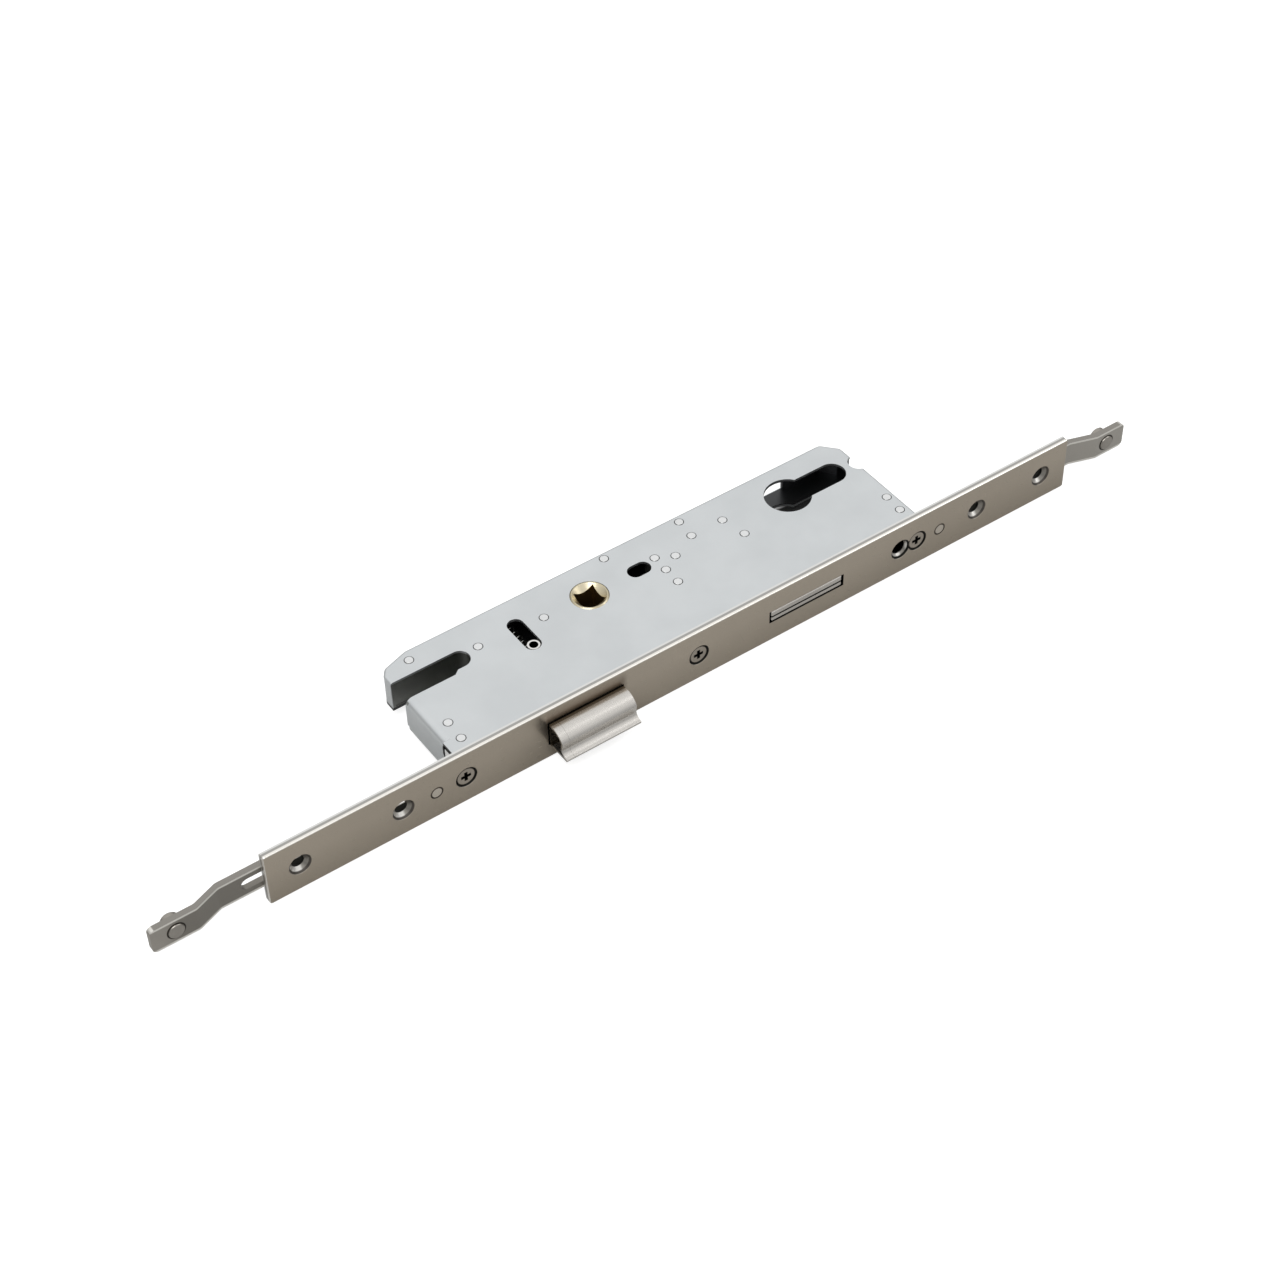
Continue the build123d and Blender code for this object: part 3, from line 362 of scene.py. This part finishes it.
def paint_left_window_shadow(finish):
    """Paints shadow black along the edges of the window in the case's left end, where the lug shows."""
    cut_half = 0.00002
    cut_x = (-0.0737, -0.0739)
    wall_skin = (0.0003, 0.0002)
    over_height = (0.0050, 0.0063)
    over_soft = 0.0001
    edge_width = 0.0005
    edge_height = (0.0010, 0.0063)
    edge_soft = 0.0010
    end_cut = finish.both(
        finish.within(finish.y, window_back - cut_half, window_back + cut_half, cut_half),
        finish.step(finish.x, *cut_x),
    )
    # Painted shadow along the window's cut, above it and at its edge
    finish.paint(end_cut, painted_shadow_black)
    end_wall = finish.step(finish.x, case_low[0] + wall_skin[0], case_low[0] + wall_skin[1])
    over_window = finish.both(
        end_wall,
        finish.step(finish.y, window_back + over_soft, window_back),
        finish.within(finish.size(finish.z), *over_height),
    )
    finish.paint(over_window, painted_shadow_black)
    window_edge = finish.both(
        end_wall,
        finish.within(finish.y, window_back, window_back + edge_width),
        finish.within(finish.z, *edge_height, edge_soft),
    )
    finish.paint(window_edge, painted_shadow_black)


def zinc_sheet():
    """Bright galvanized sheet, with painted shade between the plates, in its end slot, round its left window
    and under its leg.
    """
    leg_x = (-0.0640, -0.0650)
    leg_y = (0.0040, 0.0045)
    leg_foot = 0.0012
    leg_shade = (0.10, 0.10, 0.10)
    finish = Finish(
        "zinc_sheet", dark=(0.66, 0.685, 0.695), light=(0.70, 0.725, 0.735), roughness=0.32, metallic=0.95,
    )
    # Painted shade between the plates
    paint_inside_shade(finish)
    paint_end_slot_shade(finish)
    paint_left_window_shadow(finish)
    # Painted shade under the leg's foot
    under_leg = finish.both(
        finish.step(finish.x, *leg_x),
        finish.step(finish.y, *leg_y),
        finish.within(finish.z, -case_outer, -case_outer + leg_foot),
    )
    finish.paint(under_leg, leg_shade)
    return finish.material


def rivet_zinc():
    """Rivet heads: bright, with a painted shade line round each where it meets the plate."""
    line_heights = (0.00011, 0.00007)
    line_shade_grey = (0.12, 0.12, 0.12)
    finish = Finish(
        "rivet_zinc", dark=(0.80, 0.81, 0.81), light=(0.84, 0.85, 0.85), roughness=0.3, metallic=0.95,
    )
    # Painted shade on the rivets between the plates
    paint_inside_shade(finish)
    # Painted shade line round each head
    line = finish.step(finish.size(finish.z), case_outer + line_heights[0], case_outer + line_heights[1])
    finish.paint(line, line_shade_grey)
    return finish.material


def rail_steel():
    """Grey steel strip: painted shade at its left tip, painted light at its right end, painted highlights
    along its edges, painted shadow behind the face plate's holes and painted shade round its rod studs.
    """
    left_part = (-0.1800, -0.1500)
    left_soft = 0.004
    left_shade_grey = (0.25, 0.235, 0.21)
    right_fade = (0.1650, 0.1750)
    right_light_grey = (0.43, 0.41, 0.375)
    edge_highlight_band = (0.0043, 0.0051)
    edge_highlight = (0.80, 0.78, 0.73)
    edge_face = (0.00507, 0.00510)
    edge_grey = (0.30, 0.285, 0.26)
    plate_end = face_low[0] + 0.0015
    slot_start = 0.1600
    slot_end = 0.1729
    full_half = 0.0053
    slot_half = 0.0024
    half_soft = 0.00005
    rail_front = (-0.0351, -0.0352)
    stud_shade = (0.0034, 0.0032)
    stud_shade_brown = (0.04, 0.035, 0.03)
    finish = Finish(
        "rail_steel", dark=(0.33, 0.31, 0.28), light=(0.40, 0.375, 0.34),
        roughness=0.34, metallic=0.95, cloud_scale=50, grain=long_grain,
    )
    # Painted shade at the left tip and painted light at the right end
    finish.paint(finish.within(finish.x, *left_part, left_soft), left_shade_grey)
    finish.paint(finish.step(finish.x, *right_fade), right_light_grey)
    height = finish.size(finish.z)
    # Painted highlight along the edges
    finish.paint(finish.within(height, *edge_highlight_band), edge_highlight)
    finish.paint(finish.step(height, *edge_face), edge_grey)
    # Painted shadow on the rail behind the face plate's holes
    for left, right, half in ((plate_end, slot_start, full_half), (slot_start, slot_end, slot_half)):
        hidden = finish.both(
            finish.within(finish.x, left, right),
            finish.step(height, half + half_soft, half),
            finish.step(finish.y, *rail_front),
        )
        finish.paint(hidden, painted_shadow_black)
    # Painted shade round each rod stud
    finish.paint(finish.step(finish.to_axes(finish.x, finish.z, rod_stud_xs), *stud_shade), stud_shade_brown)
    return finish.material


def bolt_steel():
    """Nickelled steel of the latch, with painted shade where it enters the face plate and painted shadow in
    the recess of its end.
    """
    entry_fade = (0.0018, 0.0014)
    entry_shade_brown = (0.20, 0.17, 0.13)
    gap_fade = (0.0008, 0.0004)
    recess = (0.00298, 0.00302)
    recess_soft = 0.00001
    finish = Finish(
        "bolt_steel", dark=(0.635, 0.61, 0.575), light=(0.655, 0.63, 0.595),
        roughness=0.27, metallic=1.0, cloud_scale=40,
    )
    # Painted shade where the latch enters the plate, painted shadow in the gap and in the end recess
    finish.paint(finish.step(finish.y, front - entry_fade[0], front - entry_fade[1]), entry_shade_brown)
    finish.paint(finish.step(finish.y, front - gap_fade[0], front - gap_fade[1]), painted_shadow_black)
    recess_x = (latch_low[0] + recess[0], latch_low[0] + recess[1])
    finish.paint(finish.within(finish.x, *recess_x, recess_soft), painted_shadow_black)
    return finish.material


def deadbolt_steel():
    """Steel of the deadbolt's leaves, with painted shadow lines between and under them."""
    groove = (0.00042, 0.00030)
    foot_line = (0.0006, 0.0005)
    finish = Finish(
        "deadbolt_steel", dark=(0.56, 0.535, 0.50), light=(0.62, 0.595, 0.56),
        roughness=0.28, metallic=1.0, cloud_scale=70,
    )
    # Painted shadow lines between and under the leaves
    finish.paint(finish.step(finish.size(finish.z), *groove), painted_shadow_black)
    finish.paint(finish.step(finish.z, bolt_foot + foot_line[0], bolt_foot + foot_line[1]), painted_shadow_black)
    return finish.material


def screw_steel():
    """Steel screw heads, with painted shadow black in the cross recess and painted shade round its flared
    mouth.
    """
    arm_length = (0.0020, 0.0018)
    arm_half = (0.0007, 0.0006)
    head_rim = (0.0031, 0.0033)
    rim_shade_brown = (0.08, 0.07, 0.06)
    recess_depths = (0.0005, 0.0006)
    finish = Finish(
        "screw_steel", dark=(0.40, 0.36, 0.31), light=(0.44, 0.40, 0.345),
        roughness=0.3, metallic=1.0, cloud_scale=120,
    )
    across = finish.nearest(finish.x, screw_xs)
    height = finish.size(finish.z)
    arms = finish.either(
        finish.both(finish.step(across, *arm_length), finish.step(height, *arm_half)),
        finish.both(finish.step(height, *arm_length), finish.step(across, *arm_half)),
    )
    # Painted shade round the head, painted shadow in the cross recess and behind it
    finish.paint(finish.step(finish.to_axes(finish.x, finish.z, screw_xs), *head_rim), rim_shade_brown)
    finish.paint(arms, painted_shadow_black)
    recess = finish.step(finish.y, front + recess_depths[0], front + recess_depths[1])
    finish.paint(recess, painted_shadow_black)
    return finish.material


def stud_steel():
    """Steel studs and pins, as grey as the rail."""
    finish = Finish(
        "stud_steel", dark=(0.33, 0.31, 0.28), light=(0.40, 0.375, 0.34),
        roughness=0.32, metallic=1.0, cloud_scale=120,
    )
    return finish.material


def guide_steel():
    """Steel guide studs: riveted flush, with a painted shade ring round each."""
    ring = (0.00175, 0.00190)
    finish = Finish(
        "guide_steel", dark=(0.58, 0.53, 0.46), light=(0.62, 0.57, 0.50),
        roughness=0.3, metallic=1.0, cloud_scale=120,
    )
    # Painted shade ring round each stud
    finish.paint(finish.step(finish.to_axes(finish.x, finish.z, guide_stud_xs), *ring), ring_shade_brown)
    return finish.material


def pin_steel():
    """Bright steel of the latch's guide pin, with painted shade in its bore and below its end faces."""
    end_face = (0.00625, 0.00620)
    bore_shade_black = (0.05, 0.05, 0.045)
    finish = Finish(
        "pin_steel", dark=(0.84, 0.83, 0.80), light=(0.90, 0.89, 0.86),
        roughness=0.25, metallic=1.0, cloud_scale=120,
    )
    # Painted shade in the bore and below the end faces
    finish.paint(finish.step(finish.size(finish.z), *end_face), bore_shade_black)
    return finish.material


def shaded_inner_steel():
    """Steel of the parts inside the case, painted dark as shade."""
    finish = Finish(
        "shaded_inner_steel", dark=(0.06, 0.06, 0.055), light=(0.10, 0.10, 0.095),
        roughness=0.35, metallic=0.9, cloud_scale=120,
    )
    return finish.material


def spring_steel():
    """Drawn spring wire."""
    finish = Finish(
        "spring_steel", dark=(0.28, 0.28, 0.26), light=(0.34, 0.34, 0.32),
        roughness=0.3, metallic=1.0, cloud_scale=120,
    )
    return finish.material


def cast_zinc():
    """Die-cast lugs: dull and painted dark as shade, with painted light on the face that shows in the case's
    left end.
    """
    end_skin = (0.00005, 0.00002)
    end_half = 0.0050
    end_painted_light = (0.98, 0.98, 0.97)
    finish = Finish(
        "cast_zinc", dark=(0.05, 0.05, 0.045), light=(0.08, 0.08, 0.075),
        roughness=0.5, metallic=0.7, cloud_scale=180,
    )
    end = finish.both(
        finish.step(finish.x, case_low[0] + end_skin[0], case_low[0] + end_skin[1]),
        finish.within(finish.z, -end_half, end_half),
    )
    # Painted light on the end face that shows in the case's left end
    finish.paint(end, end_painted_light)
    return finish.material


def old_brass():
    """Brass of the follower: pale on its rim and mouth, with painted shade, dark brown, in its square hole
    and inside the case.
    """
    hub_radii = (0.0066, 0.0067)
    hub_depths = (0.0003, 0.0005)
    deep_shade_brown = (0.07, 0.05, 0.02)
    square_half = (0.00405, 0.00402)
    square_shade_brown = (0.40, 0.28, 0.12)
    finish = Finish(
        "old_brass", dark=(0.60, 0.53, 0.37), light=(0.74, 0.67, 0.50),
        roughness=0.33, metallic=1.0, cloud_scale=90,
    )
    deep = finish.both(
        finish.step(finish.to_axes(finish.x, finish.y, [0.0]), *hub_radii),
        finish.step(finish.size(finish.z), case_outer - hub_depths[0], case_outer - hub_depths[1]),
    )
    # Painted shade on the follower inside the case
    finish.paint(deep, deep_shade_brown)
    square = finish.either(finish.size(finish.x), finish.size(finish.y))
    # Painted shade in the square hole
    finish.paint(finish.step(square, *square_half), square_shade_brown)
    return finish.material


spring_finish = spring_steel()
stud_finish = stud_steel()
rivet_words = ("_post", "seat_rivet", "return_rivet", "middle_rivet", "right_rivet", "left_rivet")
rivets = [name for name in nodes if any(word in name for word in rivet_words)]
finishes = [
    (faceplate_silver(), ["faceplate"]),
    (zinc_sheet(), ["case_tray", "case_cover"]),
    (rivet_zinc(), rivets),
    (rail_steel(), ["drive_rail"]),
    (bolt_steel(), ["latch_bolt"]),
    (deadbolt_steel(), ["deadbolt_lower", "deadbolt_upper"]),
    (screw_steel(), ["case_screw_1", "case_screw_2", "case_screw_3"]),
    (guide_steel(), ["guide_stud_left", "guide_stud_right"]),
    (pin_steel(), ["latch_guide_pin"]),
    (shaded_inner_steel(), ["drive_plate", "talon", "latch_tail", "latch_drive_pin", "latch_seat", "return_seat"]),
    (cast_zinc(), ["lug_left", "lug_middle", "lug_right"]),
    (old_brass(), ["follower", "return_plunger"]),
    (spring_finish, ["latch_spring", "return_spring"]),
]
finish_of = {name: finish for finish, names in finishes for name in names}
for name, piece in nodes.items():
    piece.data.materials.clear()
    piece.data.materials.append(finish_of.get(name, stud_finish))


# Springs

def surface(name, points, finish):
    """A mesh from a grid of points, rows by columns, with quads between neighbours."""
    rows, columns = points.shape[:2]
    index = np.arange(rows * columns).reshape(rows, columns)
    quads = np.stack([index[:-1, :-1], index[:-1, 1:], index[1:, 1:], index[1:, :-1]], axis=-1).reshape(-1, 4)
    mesh = bpy.data.meshes.new(name)
    mesh.from_pydata(points.reshape(-1, 3).tolist(), [], quads.tolist())
    mesh.materials.append(finish)
    made = bpy.data.objects.new(name, mesh)
    bpy.context.scene.collection.objects.link(made)
    return made


def coil(name, place, ahead, start_way, radius, wire, length, turns):
    """A compression spring of round wire, closed at both ends.

    The wire's middle is the helix p(t) = place + (w/2 + (L - w) t/n) a + R (u cos 2 pi t + v sin 2 pi t),
    with t from 0 to n, wire w, length L, turns n, radius R, a ahead, u the start way and v square to both.
    Round it lie the rings p(t) + w/2 (out cos s + side sin s), with out the way of the radius at t.
    """
    steps_per_turn = 32
    wire_sides = 10
    weld_reach = wire / 100
    a = np.array(ahead, float)
    u = np.array(start_way, float)
    v = np.cross(a, u)
    t = np.linspace(0, turns, turns * steps_per_turn + 1)[:, None]
    turn = 2 * np.pi * t
    out = u * np.cos(turn) + v * np.sin(turn)
    rise = (length - wire) / turns
    middle = np.array(place) + a * (wire / 2 + rise * t) + radius * out
    way = a * rise + 2 * np.pi * radius * (v * np.cos(turn) - u * np.sin(turn))
    way /= np.linalg.norm(way, axis=1)[:, None]
    side = np.cross(way, out)
    round_wire = np.linspace(0, 2 * np.pi, wire_sides + 1)
    rings = [middle + wire / 2 * (out * math.cos(angle) + side * math.sin(angle)) for angle in round_wire]
    tube = np.stack(rings, axis=1)
    ends = np.repeat(middle[[0, -1], None], wire_sides + 1, axis=1)
    made = surface(name, np.concatenate([ends[:1], tube, ends[1:]]), spring_finish)
    welded = bmesh.new()
    welded.from_mesh(made.data)
    bmesh.ops.remove_doubles(welded, verts=welded.verts, dist=weld_reach)
    welded.to_mesh(made.data)
    welded.free()
    for face in made.data.polygons:
        face.use_smooth = True
    return made


def spring_line(node, lengthwise):
    """The near and far ends of a spring's middle line along X (0) or Y (1), and its length."""
    low, high = span(node)
    near = (low + high) / 2
    near[2] = 0.0
    far = near.copy()
    near[lengthwise] = low[lengthwise]
    far[lengthwise] = high[lengthwise]
    return near, far, high[lengthwise] - low[lengthwise]


# In the lock both coils shorten as the latch draws in; here each is drawn at rest, from its spring's near end
# to the seat that holds its far end
latch_near, latch_far, latch_length = spring_line("latch_spring", lengthwise=1)
latch_coil = coil(
    "latch_coil", latch_near, ahead=(0, 1, 0), start_way=(1, 0, 0),
    radius=0.0019, wire=0.0006, length=latch_length, turns=6,
)
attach(latch_coil, "lock_case")
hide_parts("latch_spring")
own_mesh(latch_coil)

return_near, return_far, return_length = spring_line("return_spring", lengthwise=0)
return_coil = coil(
    "return_coil", return_near, ahead=(1, 0, 0), start_way=(0, 1, 0),
    radius=0.00145, wire=0.0004, length=return_length, turns=4,
)
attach(return_coil, "lock_case")
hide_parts("return_spring")
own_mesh(return_coil)


# Studio

white = (1, 1, 1, 1)


def floor_paint():
    """Pale paint, lifted to white for the camera's own rays, except where a dark shade is painted under the
    lock.
    """
    tone = (0.45, 0.45, 0.445)
    shade_tone = (0.06, 0.06, 0.06)
    lift_strength = 0.75
    soft = 0.004
    left_inset = 8 * soft
    front_inset = 2 * soft
    paint = Finish("floor_paint", dark=tone, light=tone, roughness=0.9, metallic=0.0)
    paint.shader.inputs["Specular IOR Level"].default_value = 0.0
    paint.shader.inputs["Emission Color"].default_value = white
    shade = paint.both(
        paint.within(paint.x, case_low[0] + left_inset, case_high[0] - soft, soft),
        paint.within(paint.y, front + front_inset, case_high[1] - soft, soft),
    )
    # Painted shade on the floor under the lock
    paint.paint(shade, shade_tone)
    lit = paint.calc("SUBTRACT", 1.0, shade)
    rays = paint.node("ShaderNodeLightPath")
    lift = paint.calc("MULTIPLY", paint.both(rays.outputs["Is Camera Ray"], lit), lift_strength)
    paint.tree.links.new(lift, paint.shader.inputs["Emission Strength"])
    return paint.material


def studio_floor():
    """A flat floor under the lock: z is constant over the grid."""
    height = -0.0113
    reach = 3.0
    side = np.linspace(-reach, reach, 2)
    x, y = np.meshgrid(side, side)
    return surface("floor", np.stack([x, y, np.full_like(x, height)], axis=-1), floor_paint())


def lamp(name, place, power):
    """A soft square lamp aimed at the lock."""
    side = 0.8
    data = bpy.data.lights.new(name, "AREA")
    data.shape = "SQUARE"
    data.size = side
    data.energy = power
    made = bpy.data.objects.new(name, data)
    made.location = place
    made.rotation_euler = (-Vector(place)).to_track_quat("-Z", "Y").to_euler()
    bpy.context.scene.collection.objects.link(made)


def studio_sky():
    """Soft light from all round, stronger from above, and plain white where the camera sees past the lock."""
    low = 0.25
    high = 0.88
    rise = 0.55
    world = bpy.data.worlds.new("studio")
    world.use_nodes = True
    tree = world.node_tree
    tree.nodes.clear()
    out = tree.nodes.new("ShaderNodeOutputWorld")
    ambient = tree.nodes.new("ShaderNodeBackground")
    backdrop = tree.nodes.new("ShaderNodeBackground")
    for background in (ambient, backdrop):
        background.inputs["Color"].default_value = white
    direction = tree.nodes.new("ShaderNodeTexCoord")
    height = tree.nodes.new("ShaderNodeSeparateXYZ")
    glow = tree.nodes.new("ShaderNodeMapRange")
    for socket, value in (("From Min", 0.0), ("From Max", rise), ("To Min", low), ("To Max", high)):
        glow.inputs[socket].default_value = value
    choose = tree.nodes.new("ShaderNodeMixShader")
    path = tree.nodes.new("ShaderNodeLightPath")
    tree.links.new(direction.outputs["Generated"], height.inputs["Vector"])
    tree.links.new(height.outputs["Z"], glow.inputs["Value"])
    tree.links.new(glow.outputs["Result"], ambient.inputs["Strength"])
    tree.links.new(path.outputs["Is Camera Ray"], choose.inputs["Fac"])
    tree.links.new(ambient.outputs["Background"], choose.inputs[1])
    tree.links.new(backdrop.outputs["Background"], choose.inputs[2])
    tree.links.new(choose.outputs["Shader"], out.inputs["Surface"])
    for column, node in enumerate((direction, height, glow, path, ambient, backdrop, choose, out)):
        node.location = (column * node_width, 0)
    return world


def fitted_camera():
    """The camera, fitted to the lock's known holes: its angles, its distance and its lens in image pixels."""
    focal_px = 2618.37
    image_px = 1280.0
    sensor = 36.0
    azimuth = math.radians(-34.24)
    elevation = math.radians(45.33)
    roll = math.radians(-1.49)
    target = Vector((0.00508, -0.02236, 0.0))
    distance = 0.88465
    near_clip = 0.01
    flat = math.cos(elevation)
    back = Vector((math.sin(azimuth) * flat, -math.cos(azimuth) * flat, math.sin(elevation)))
    level = Vector((math.cos(azimuth), math.sin(azimuth), 0.0))
    rise = back.cross(level)
    right = level * math.cos(roll) + rise * math.sin(roll)
    up = rise * math.cos(roll) - level * math.sin(roll)
    place = target + back * distance
    data = bpy.data.cameras.new("camera")
    data.sensor_width = sensor
    data.lens = sensor * focal_px / image_px
    data.clip_start = near_clip
    made = bpy.data.objects.new("camera", data)
    made.matrix_world = Matrix((
        (right.x, up.x, back.x, place.x),
        (right.y, up.y, back.y, place.y),
        (right.z, up.z, back.z, place.z),
        (0, 0, 0, 1),
    ))
    bpy.context.scene.collection.objects.link(made)
    return made


floor = studio_floor()
lamp("key", place=(-0.5, -0.4, 1.1), power=7.0)
lamp("fill", place=(0.9, -0.3, 0.8), power=3.0)
bpy.context.scene.world = studio_sky()
bpy.context.scene.camera = fitted_camera()
bpy.context.scene.view_settings.view_transform = "Standard"
